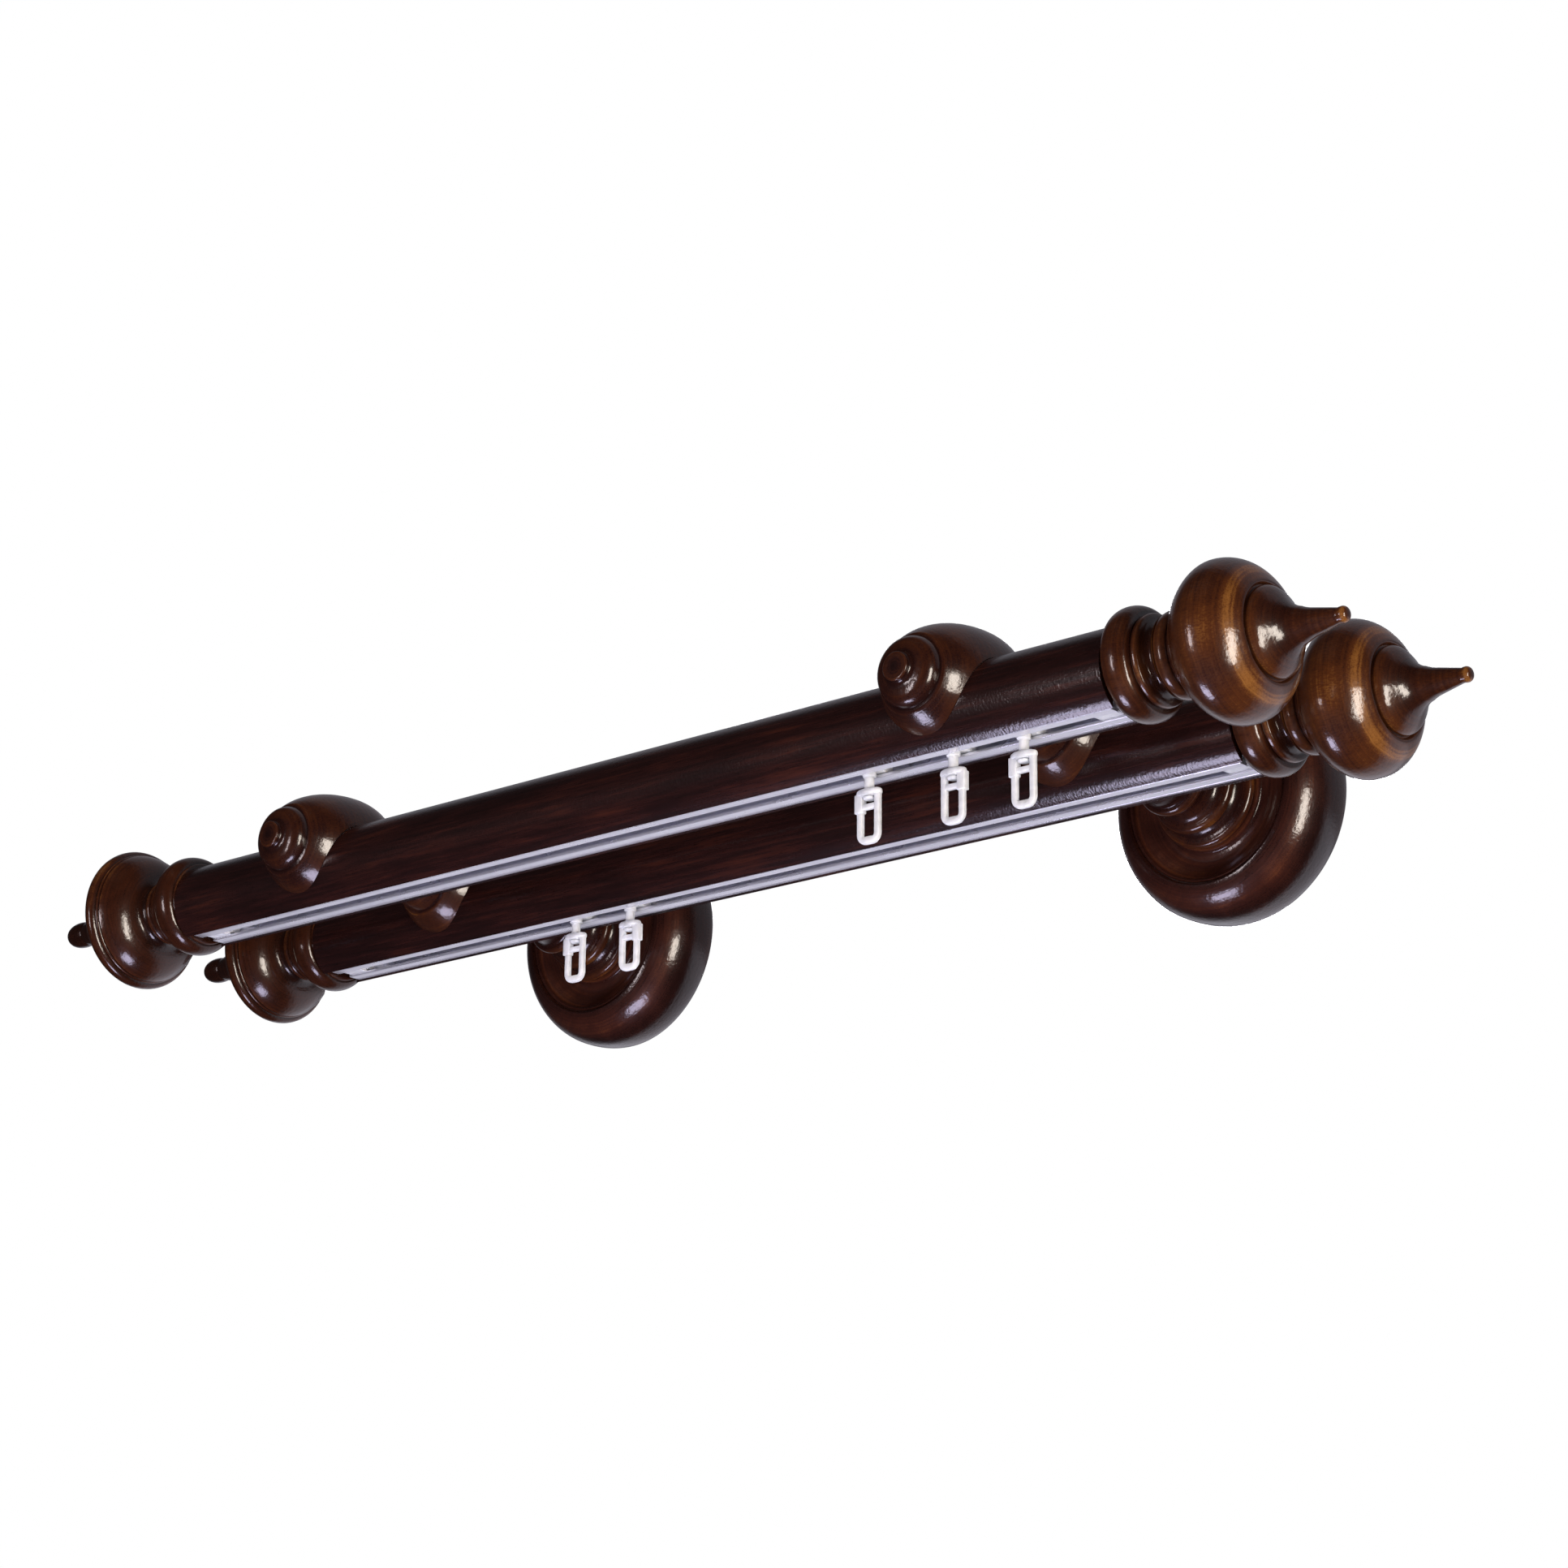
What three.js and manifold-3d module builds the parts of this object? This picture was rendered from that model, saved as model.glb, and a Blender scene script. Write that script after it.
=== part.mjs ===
// Double curtain rod with two turned brackets. Millimetres, +Z up.
// The rods run along X, the wall is the plane y = 0 and the room is at -Y.
// The origin is the middle of the right wall plate's back face.

import * as THREE from 'three';
import { mergeVertices } from 'three/addons/utils/BufferGeometryUtils.js';
import Module from 'manifold-3d';

const wasm = await Module();
wasm.setup();

// Driving dimensions.
const gap = 0.3; // room left between pieces that touch
const rodRadius = 14;
const rodHeight = -8.6; // rod axes, below the arm axes
const rodLeft = -322;
const rodRight = 61;
const frontLine = -147; // y of the front rod's axis
const backLine = -84.5; // y of the back rod's axis
const bracketPlaces = { right: 0, left: -261 };
const finialRise = 1.6; // the finials sit this far above the rod axis, clear of the groove

const trackWidth = 15;
const trackHeight = 7.2;
const trackWall = 1;
const trackSlot = 4.8;
const trackFace = -10.6; // underside of the track, from the rod axis
const trackTop = trackFace + trackHeight;
const trackLeft = rodLeft + 2;
const trackRight = rodRight - 2;
const stopLength = 8;

const dowelRadius = 3.5;
const dowelDepth = 20;
const dowelInFinial = 18;

const plateRadius = 24;
const plateThickness = 2.5;
const studRadius = 3.9;
const studReach = 25;
const tenonRadius = 10;
const hubFace = 19.6; // front of the rose's hub, from the wall

const runnerLength = 8;
const runnerWidth = 12.2;
const stemRadius = 1.45;
const hookTop = -14.9; // from the rod axis
const hookHeight = 16.7;
const hookWidth = 8.3;
const hookThickness = 1.8;

const frontGliders = [-31.3, -0.4, 24.7];
const backGliders = [-208.2, -183.8];
const trackScrewPlaces = [-291, 30];
const profileTolerance = 0.3;

const paint = {
  darkWood: { color: 0x2b1210, roughness: 0.28, metalness: 0 },
  amberWood: { color: 0x5a3216, roughness: 0.25, metalness: 0 },
  dowelWood: { color: 0xb98a58, roughness: 0.7, metalness: 0 },
  aluminium: { color: 0xc9cbd0, roughness: 0.3, metalness: 1 },
  steel: { color: 0x9a9da2, roughness: 0.4, metalness: 1 },
  plastic: { color: 0xe9e9e4, roughness: 0.45, metalness: 0 },
};

// Solids: every shape becomes a manifold before it is cut or joined.

function solid(geometry) {
  const bare = geometry.index ? geometry.toNonIndexed() : geometry.clone();
  bare.deleteAttribute('normal');
  bare.deleteAttribute('uv');
  const welded = mergeVertices(bare, 1e-4);
  const shape = new wasm.Mesh({
    numProp: 3,
    vertProperties: new Float32Array(welded.attributes.position.array),
    triVerts: new Uint32Array(welded.index.array),
  });
  return new wasm.Manifold(shape);
}

function placed(geometry, x, y, z) {
  return solid(geometry.translate(x, y, z));
}

function block(x0, x1, y0, y1, z0, z1) {
  const box = new THREE.BoxGeometry(x1 - x0, y1 - y0, z1 - z0);
  return placed(box, (x0 + x1) / 2, (y0 + y1) / 2, (z0 + z1) / 2);
}

function cylinderX(radius, x0, x1, y, z, sides = 40) {
  const geometry = new THREE.CylinderGeometry(radius, radius, x1 - x0, sides);
  return placed(geometry.rotateZ(Math.PI / 2), (x0 + x1) / 2, y, z);
}

function cylinderY(radius, y0, y1, x, z, sides = 24) {
  const geometry = new THREE.CylinderGeometry(radius, radius, y1 - y0, sides);
  return placed(geometry, x, (y0 + y1) / 2, z);
}

function cylinderZ(radius, z0, z1, x, y, sides = 20) {
  const geometry = new THREE.CylinderGeometry(radius, radius, z1 - z0, sides);
  return placed(geometry.rotateX(Math.PI / 2), x, y, (z0 + z1) / 2);
}

// Turned profiles: x is the radius, y is the distance along the axis.

function bead(path, start, end, base, top) {
  const middle = (start + end) / 2;
  path.absellipse(base, middle, top - base, (end - start) / 2, -Math.PI / 2, Math.PI / 2, false);
}

function cove(path, start, end, rim, floor) {
  const middle = (start + end) / 2;
  path.absellipse(rim, middle, rim - floor, (end - start) / 2, -Math.PI / 2, Math.PI / 2, true);
}

// Drops the profile points that lie within the tolerance of the line past them.
function simplified(points, tolerance) {
  const first = points[0];
  const last = points[points.length - 1];
  const chord = new THREE.Line3(
    new THREE.Vector3(first.x, first.y, 0),
    new THREE.Vector3(last.x, last.y, 0),
  );
  let farthest = 0;
  let index = 0;
  for (let i = 1; i < points.length - 1; i += 1) {
    const point = new THREE.Vector3(points[i].x, points[i].y, 0);
    const foot = chord.closestPointToPoint(point, true, new THREE.Vector3());
    if (foot.distanceTo(point) > farthest) {
      farthest = foot.distanceTo(point);
      index = i;
    }
  }
  if (farthest < tolerance) return [first, last];
  const before = simplified(points.slice(0, index + 1), tolerance);
  const after = simplified(points.slice(index), tolerance);
  return [...before, ...after.slice(1)];
}

function turned(path, sides) {
  return new THREE.LatheGeometry(simplified(path.getPoints(4), profileTolerance), sides);
}

function addCollar(path, crest) {
  path.moveTo(0, 0);
  path.lineTo(13.7, 0);
  bead(path, 0.3, 9.2, 13.7, crest);
}

function onionProfile() {
  const path = new THREE.Path();
  addCollar(path, 16.6);
  path.lineTo(12.8, 9.6);
  path.lineTo(13.3, 10.2);
  path.lineTo(13.3, 11.2);
  cove(path, 11.7, 15.9, 12.2, 9.8);
  bead(path, 16.1, 20.3, 11.6, 12.7);
  path.lineTo(12.2, 21.7);
  path.bezierCurveTo(15.5, 23, 23, 28.5, 23.1, 34.5);
  path.bezierCurveTo(23.1, 41, 18.5, 45, 14.2, 47.4);
  path.lineTo(13, 47.5);
  path.lineTo(12.8, 48.2);
  path.bezierCurveTo(12.2, 50.6, 6.2, 51.5, 5, 57);
  path.quadraticCurveTo(4.2, 58.5, 3.8, 60.5);
  path.lineTo(2.1, 68.6);
  path.quadraticCurveTo(2, 70.9, 0, 70.9);
  return path;
}

function bellProfile() {
  const path = new THREE.Path();
  addCollar(path, 16.8);
  path.lineTo(12, 9.4);
  bead(path, 9.8, 15.6, 10.6, 12.2);
  path.lineTo(10.4, 15.8);
  path.lineTo(11.2, 16.6);
  path.lineTo(11.2, 17.8);
  path.lineTo(10.2, 18.6);
  path.bezierCurveTo(10.2, 20.5, 11.5, 21.3, 13.5, 21.8);
  path.bezierCurveTo(17.5, 22.8, 20.5, 25.5, 21.9, 29.6);
  path.lineTo(21.3, 29.9);
  bead(path, 30.6, 35.4, 22, 23.9);
  path.lineTo(20.5, 36);
  path.bezierCurveTo(17.5, 42.5, 7.5, 46, 5.4, 55);
  path.quadraticCurveTo(4.6, 58.5, 4, 61);
  path.bezierCurveTo(4.9, 63, 4.8, 70.9, 0, 70.9);
  return path;
}

// A bracket bulge over a rod whose axis lies at the given distance from the wall.
function addBulge(path, neckStart, rod) {
  path.lineTo(9.2, neckStart);
  path.bezierCurveTo(9.4, rod - 20, 18.6, rod - 19, 18.9, rod - 7);
  path.lineTo(18.9, rod + 2);
  path.bezierCurveTo(18.7, rod + 10, 15.4, rod + 15.2, 11.9, rod + 19.4);
  path.lineTo(11.3, rod + 20.2);
  path.lineTo(10.6, rod + 20.3);
}

function armProfile() {
  const back = -backLine;
  const front = -frontLine;
  const path = new THREE.Path();
  path.moveTo(0, plateThickness + 0.7);
  path.lineTo(tenonRadius, plateThickness + 0.7);
  path.lineTo(tenonRadius, hubFace + gap);
  path.lineTo(16.6, hubFace + gap);
  bead(path, 20, 23.4, 16.6, 18.2);
  path.quadraticCurveTo(14.2, 23.8, 13.2, 26);
  bead(path, 26.1, 30.2, 13.2, 15);
  path.quadraticCurveTo(10.2, 31, 10, 36.5);
  bead(path, 37.6, 42, 10.4, 12.1);
  path.quadraticCurveTo(9.2, 43, 9.2, 48);
  addBulge(path, back - 27, back);
  path.quadraticCurveTo(9.6, back + 24, 8.8, back + 26.5);
  addBulge(path, front - 26, front);
  path.bezierCurveTo(10.4, front + 23.2, 8.6, front + 24.3, 6.2, front + 24.6);
  path.quadraticCurveTo(4.3, front + 24.8, 4.1, front + 26);
  path.lineTo(4.3, front + 27.3);
  path.lineTo(0, front + 27.3);
  return path;
}

function roseProfile() {
  const path = new THREE.Path();
  path.moveTo(0, 0);
  path.lineTo(37.6, 0);
  path.bezierCurveTo(38.9, 1.5, 39.3, 5, 39.2, 8.6);
  path.bezierCurveTo(39, 15, 34.5, 21, 29.2, 22);
  path.lineTo(28.8, 21.2);
  path.lineTo(28, 21);
  path.lineTo(27.6, 20);
  path.quadraticCurveTo(23, 16.4, 18.9, 18);
  path.lineTo(18.4, hubFace);
  path.lineTo(0, hubFace);
  return path;
}

// Pieces.

const group = new THREE.Group();
group.name = 'curtain_rod_with_brackets';

function add(name, shape, look) {
  const mesh = shape.getMesh();
  const geometry = new THREE.BufferGeometry();
  geometry.setAttribute('position', new THREE.BufferAttribute(mesh.vertProperties, 3));
  geometry.setIndex(new THREE.BufferAttribute(mesh.triVerts, 1));
  geometry.computeVertexNormals();
  const node = new THREE.Mesh(geometry, new THREE.MeshStandardMaterial({ ...paint[look] }));
  node.name = name;
  group.add(node);
}

function finial(profile, end, line) {
  const outward = end > bracketPlaces.right ? 1 : -1;
  const geometry = turned(profile, 18).rotateZ((-outward * Math.PI) / 2);
  const body = placed(geometry, end + outward * gap, line, rodHeight + finialRise);
  const from = end - outward;
  const to = end + outward * (dowelInFinial + 0.5);
  const socket = cylinderX(
    dowelRadius + 0.15,
    Math.min(from, to),
    Math.max(from, to),
    line,
    rodHeight + finialRise,
    20,
  );
  return body.subtract(socket);
}

function dowel(end, line) {
  const outward = end > bracketPlaces.right ? 1 : -1;
  const ends = [end - outward * (dowelDepth - 0.5), end + outward * dowelInFinial];
  return cylinderX(
    dowelRadius,
    Math.min(...ends),
    Math.max(...ends),
    line,
    rodHeight + finialRise,
    20,
  );
}

function rod(line) {
  const half = trackWidth / 2 + 0.15;
  const top = rodHeight + trackTop + gap;
  let body = cylinderX(rodRadius, rodLeft, rodRight, line, rodHeight, 40);
  const groove = block(rodLeft - 1, rodRight + 1, line - half, line + half, -60, top);
  body = body.subtract(groove);
  const boreHeight = rodHeight + finialRise;
  const boreRadius = dowelRadius + 0.15;
  const bores = [
    [rodLeft - 1, rodLeft + dowelDepth],
    [rodRight - dowelDepth, rodRight + 1],
  ];
  for (const [x0, x1] of bores) {
    body = body.subtract(cylinderX(boreRadius, x0, x1, line, boreHeight, 20));
  }
  for (const x of Object.values(bracketPlaces)) {
    body = body.subtract(cylinderZ(1.9, rodHeight + 2, 20, x, line, 12));
  }
  for (const x of trackScrewPlaces) {
    body = body.subtract(cylinderZ(1.6, top - 1, top + 6, x, line, 8));
  }
  return body;
}

function track(line) {
  const half = trackWidth / 2;
  const bottom = rodHeight + trackFace;
  const top = rodHeight + trackTop;
  const inner = half - trackWall;
  const shape = new THREE.Shape();
  shape.moveTo(-half, bottom);
  shape.lineTo(-trackSlot / 2, bottom);
  shape.lineTo(-trackSlot / 2, bottom + trackWall);
  shape.lineTo(-inner, bottom + trackWall);
  shape.lineTo(-inner, top - trackWall);
  shape.lineTo(inner, top - trackWall);
  shape.lineTo(inner, bottom + trackWall);
  shape.lineTo(trackSlot / 2, bottom + trackWall);
  shape.lineTo(trackSlot / 2, bottom);
  shape.lineTo(half, bottom);
  shape.lineTo(half, top);
  shape.lineTo(-half, top);
  const length = trackRight - trackLeft;
  const geometry = new THREE.ExtrudeGeometry(shape, { depth: length, bevelEnabled: false });
  geometry.rotateX(Math.PI / 2).rotateZ(Math.PI / 2);
  let body = placed(geometry, trackLeft, line, 0);
  for (const x of trackScrewPlaces) {
    body = body.subtract(cylinderZ(1.6, top - 2, top + 1, x, line, 8));
  }
  return body;
}

function trackScrew(x, line) {
  const under = rodHeight + trackTop - trackWall - gap / 2;
  const head = cylinderZ(2.8, under - 1.1, under, x, line, 12);
  const shank = cylinderZ(1.3, under - 0.5, rodHeight + trackTop + 5.5, x, line, 8);
  return head.add(shank);
}

function endStop(x0, x1, line) {
  const floor = rodHeight + trackFace + trackWall + gap / 2;
  const roof = rodHeight + trackTop - trackWall - gap / 2;
  const plug = block(x0, x1, line - 6.3, line + 6.3, floor, roof);
  const rib = block(x0, x1, line - 2.2, line + 2.2, floor - 1.1, floor + 1);
  return plug.add(rib);
}

function arm(x) {
  const geometry = turned(armProfile(), 18).rotateX(Math.PI);
  let body = placed(geometry, x, 0, 0);
  for (const line of [frontLine, backLine]) {
    body = body.subtract(cylinderX(rodRadius + gap / 2, x - 30, x + 30, line, rodHeight, 40));
    body = body.subtract(cylinderZ(1.9, 0, 20, x, line, 12));
    body = body.subtract(cylinderZ(3.8, 12, 24, x, line, 20));
  }
  return body.subtract(cylinderY(studRadius + 0.3, -studReach - 1, 0, x, 0, 20));
}

function rodScrew(x, line) {
  const head = cylinderZ(3.4, 12.3, 14.5, x, line, 18);
  const slot = block(x - 4, x + 4, line - 0.5, line + 0.5, 13.7, 16);
  const shank = cylinderZ(1.6, rodHeight + 2.5, 12.5, x, line, 12);
  return head.subtract(slot).add(shank);
}

function rose(x) {
  const geometry = turned(roseProfile(), 24).rotateX(Math.PI);
  const body = placed(geometry, x, 0, 0);
  const recess = cylinderY(plateRadius + 0.5, -plateThickness - gap, 1, x, 0, 36);
  const bore = cylinderY(tenonRadius + gap, -40, 1, x, 0, 28);
  return body.subtract(recess).subtract(bore);
}

function wallPlate(x) {
  let body = cylinderY(plateRadius, -plateThickness, 0, x, 0, 40);
  body = body.add(cylinderY(studRadius, -studReach, -1, x, 0, 20));
  for (let i = 0; i < 3; i += 1) {
    const angle = Math.PI / 2 + (i * 2 * Math.PI) / 3;
    const holeX = x + 16 * Math.cos(angle);
    const holeZ = 16 * Math.sin(angle);
    body = body.subtract(cylinderY(2.6, -4, 1, holeX, holeZ, 16));
  }
  return body;
}

// Running head in the channel, its stem and the bulb that holds the hook on.
function glider(x, line) {
  const floor = rodHeight + trackFace + trackWall + gap;
  const runner = block(
    x - runnerLength / 2,
    x + runnerLength / 2,
    line - runnerWidth / 2,
    line + runnerWidth / 2,
    floor,
    floor + 2.4,
  );
  const neck = cylinderZ(2, rodHeight + trackFace - 0.4, floor + 1, x, line, 12);
  const bulbTop = rodHeight + hookTop - 2.5;
  const stem = cylinderZ(stemRadius, bulbTop - 0.5, floor + 0.5, x, line, 12);
  const bulb = cylinderZ(1.95, bulbTop - 0.8, bulbTop, x, line, 12);
  return runner.add(neck).add(stem).add(bulb);
}

function roundedOutline(width, bottom, top, corner) {
  const half = width / 2;
  const shape = new THREE.Shape();
  shape.moveTo(-half, top);
  shape.lineTo(-half, bottom + corner);
  shape.quadraticCurveTo(-half, bottom, -half + corner, bottom);
  shape.lineTo(half - corner, bottom);
  shape.quadraticCurveTo(half, bottom, half, bottom + corner);
  shape.lineTo(half, top);
  return shape;
}

function plateXZ(shape, thickness, x, line) {
  const options = { depth: thickness, bevelEnabled: false, curveSegments: 3 };
  const geometry = new THREE.ExtrudeGeometry(shape, options).rotateX(Math.PI / 2);
  return placed(geometry, x, line + thickness / 2, 0);
}

// Open loop that turns on the stem. The latch tab is on one side only.
function hook(x, line, tabSide) {
  const top = rodHeight + hookTop;
  const bottom = top - hookHeight;
  const inside = hookWidth - 3.8;
  const frame = plateXZ(roundedOutline(hookWidth, bottom, top - 0.4, 3.2), hookThickness, x, line);
  const upper = block(x - inside / 2, x + inside / 2, line - 5, line + 5, top - 4.5, top - 2.3);
  const lower = plateXZ(roundedOutline(inside, bottom + 2.4, top - 6.1, 1.4), 10, x, line);
  const shoulderPath = new THREE.Path();
  shoulderPath.moveTo(0, -1.9);
  shoulderPath.lineTo(4.3, -1.9);
  shoulderPath.lineTo(4.55, -1.5);
  shoulderPath.lineTo(4.4, -0.7);
  shoulderPath.quadraticCurveTo(3.7, 0, 2.7, 0);
  shoulderPath.lineTo(0, 0);
  const shoulderGeometry = new THREE.LatheGeometry(shoulderPath.getPoints(2), 12);
  shoulderGeometry.rotateX(Math.PI / 2).scale(1, 0.52, 1);
  const shoulder = placed(shoulderGeometry, x, line, top);
  const hub = cylinderZ(2.4, top - 2.3, top - 1, x, line, 12);
  const outer = tabSide * (hookWidth / 2 + 0.6);
  const inner = tabSide * (hookWidth / 2 - 2.1);
  const tab = block(
    x + Math.min(outer, inner),
    x + Math.max(outer, inner),
    line - 1.2,
    line + 1.2,
    top - 7,
    top - 1.2,
  );
  const bore = cylinderZ(stemRadius + 0.08, top - 4, top + 1, x, line, 12);
  return frame.add(tab).subtract(upper).subtract(lower).add(shoulder).add(hub).subtract(bore);
}

const lines = { front: frontLine, back: backLine };
for (const [row, line] of Object.entries(lines)) {
  add(`${row}_rod`, rod(line), 'darkWood');
  add(`${row}_track`, track(line), 'aluminium');
  add(`${row}_right_finial`, finial(onionProfile(), rodRight, line), 'amberWood');
  add(`${row}_left_finial`, finial(bellProfile(), rodLeft, line), 'amberWood');
  add(`${row}_right_dowel`, dowel(rodRight, line), 'dowelWood');
  add(`${row}_left_dowel`, dowel(rodLeft, line), 'dowelWood');
  add(`${row}_left_stop`, endStop(trackLeft + 1, trackLeft + 1 + stopLength, line), 'plastic');
  add(`${row}_right_stop`, endStop(trackRight - 1 - stopLength, trackRight - 1, line), 'plastic');
  trackScrewPlaces.forEach((x, i) => {
    add(`${row}_track_screw_${i + 1}`, trackScrew(x, line), 'steel');
  });
}

for (const [side, x] of Object.entries(bracketPlaces)) {
  add(`${side}_wall_plate`, wallPlate(x), 'steel');
  add(`${side}_rose`, rose(x), 'darkWood');
  add(`${side}_arm`, arm(x), 'amberWood');
  for (const [row, line] of Object.entries(lines)) {
    add(`${side}_${row}_rod_screw`, rodScrew(x, line), 'steel');
  }
}

const hangers = [
  ...frontGliders.map((x, i) => ({ row: 'front', i, x, line: frontLine })),
  ...backGliders.map((x, i) => ({ row: 'back', i, x, line: backLine })),
];
const rightTabs = ['front_2', 'back_2'];
for (const { row, i, x, line } of hangers) {
  const tag = `${row}_${i + 1}`;
  add(`${row}_glider_${i + 1}`, glider(x, line), 'plastic');
  add(`${row}_hook_${i + 1}`, hook(x, line, rightTabs.includes(tag) ? 1 : -1), 'plastic');
}

export default group;
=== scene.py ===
"""Looks for the double curtain rod: turned and stained beech, aluminium tracks, milky plastic hooks."""

import math

import bpy
import bmesh
from mathutils import Matrix, Vector


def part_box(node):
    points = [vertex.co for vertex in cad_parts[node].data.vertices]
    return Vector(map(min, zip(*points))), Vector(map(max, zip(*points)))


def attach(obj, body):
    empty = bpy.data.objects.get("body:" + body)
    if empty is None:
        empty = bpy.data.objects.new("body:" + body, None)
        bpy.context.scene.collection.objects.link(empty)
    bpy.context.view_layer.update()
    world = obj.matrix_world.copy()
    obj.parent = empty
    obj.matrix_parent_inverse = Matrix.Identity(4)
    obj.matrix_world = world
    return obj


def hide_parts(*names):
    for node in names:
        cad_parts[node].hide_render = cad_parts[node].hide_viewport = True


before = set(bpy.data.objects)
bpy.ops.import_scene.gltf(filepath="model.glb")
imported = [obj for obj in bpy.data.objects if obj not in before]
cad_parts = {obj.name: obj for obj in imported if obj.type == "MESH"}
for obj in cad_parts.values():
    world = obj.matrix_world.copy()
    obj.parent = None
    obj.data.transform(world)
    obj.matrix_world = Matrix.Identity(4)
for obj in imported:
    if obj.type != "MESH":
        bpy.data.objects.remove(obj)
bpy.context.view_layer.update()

MM = 0.001
ROWS = ("front", "back")
SIDES = ("right", "left")
ROD_RADIUS = 14.0


def box_mm(node):
    low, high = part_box(node)
    return Vector(low) / MM, Vector(high) / MM


def middle_mm(node):
    low, high = box_mm(node)
    return (low + high) / 2


# Places, all read from the frame, in millimetres.
rod_line = {}
rod_ends = {}
finial_line = {}
for row in ROWS:
    low, high = box_mm(f"{row}_rod")
    rod_line[row] = ((low.y + high.y) / 2, high.z - ROD_RADIUS)
    rod_ends[row] = (low.x, high.x)
    finial = middle_mm(f"{row}_right_finial")
    finial_line[row] = (finial.y, finial.z)
bracket_x = {side: middle_mm(f"{side}_wall_plate").x for side in SIDES}
hangers = [(row, i, middle_mm(f"{row}_glider_{i}").x) for row, count in (("front", 3), ("back", 2))
           for i in range(1, count + 1)]


# ---------------------------------------------------------------- nodes

def give(tree, node, inputs):
    """Sets a node's inputs, as values or as links from other sockets."""
    for socket, source in inputs.items():
        if isinstance(source, bpy.types.NodeSocket):
            tree.links.new(source, node.inputs[socket])
        else:
            node.inputs[socket].default_value = source


def put(tree, kind, inputs=None, stops=(), **settings):
    """Adds one node, with its settings, its inputs and the (position, colour) stops of a colour ramp."""
    node = tree.nodes.new(kind)
    for key, value in settings.items():
        setattr(node, key, value)
    give(tree, node, inputs or {})
    for i, (position, colour) in enumerate(stops):
        elements = node.color_ramp.elements
        element = elements[i] if i < len(elements) else elements.new(position)
        element.position = position
        element.color = linear(colour)
    return node


def linear(hex_colour):
    """An sRGB hex colour as linear RGBA."""
    value = hex_colour.lstrip("#")
    channels = []
    for i in (0, 2, 4):
        c = int(value[i:i + 2], 16) / 255
        channels.append(c / 12.92 if c <= 0.04045 else ((c + 0.055) / 1.055) ** 2.4)
    return (*channels, 1.0)


def new_material(name):
    """A material with nothing in it but the shader and its output."""
    material = bpy.data.materials.new(name)
    material.use_nodes = True
    tree = material.node_tree
    tree.nodes.clear()
    shader = put(tree, "ShaderNodeBsdfPrincipled")
    put(tree, "ShaderNodeOutputMaterial", {"Surface": shader.outputs[0]})
    return material, tree, shader


# ---------------------------------------------------------------- materials

def speckled(tree, colour, spots, start, end, darkest):
    """A colour that darkens to a share of itself as the spots rise from start to end."""
    shade = put(tree, "ShaderNodeMapRange", {"Value": spots, "From Min": start, "From Max": end,
                "To Min": 1.0, "To Max": darkest}).outputs[0]
    grey = put(tree, "ShaderNodeCombineXYZ", {"X": shade, "Y": shade, "Z": shade}).outputs[0]
    return put(tree, "ShaderNodeMix", {0: 1.0, 6: colour, 7: grey},
               data_type="RGBA", blend_type="MULTIPLY").outputs[2]


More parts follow.
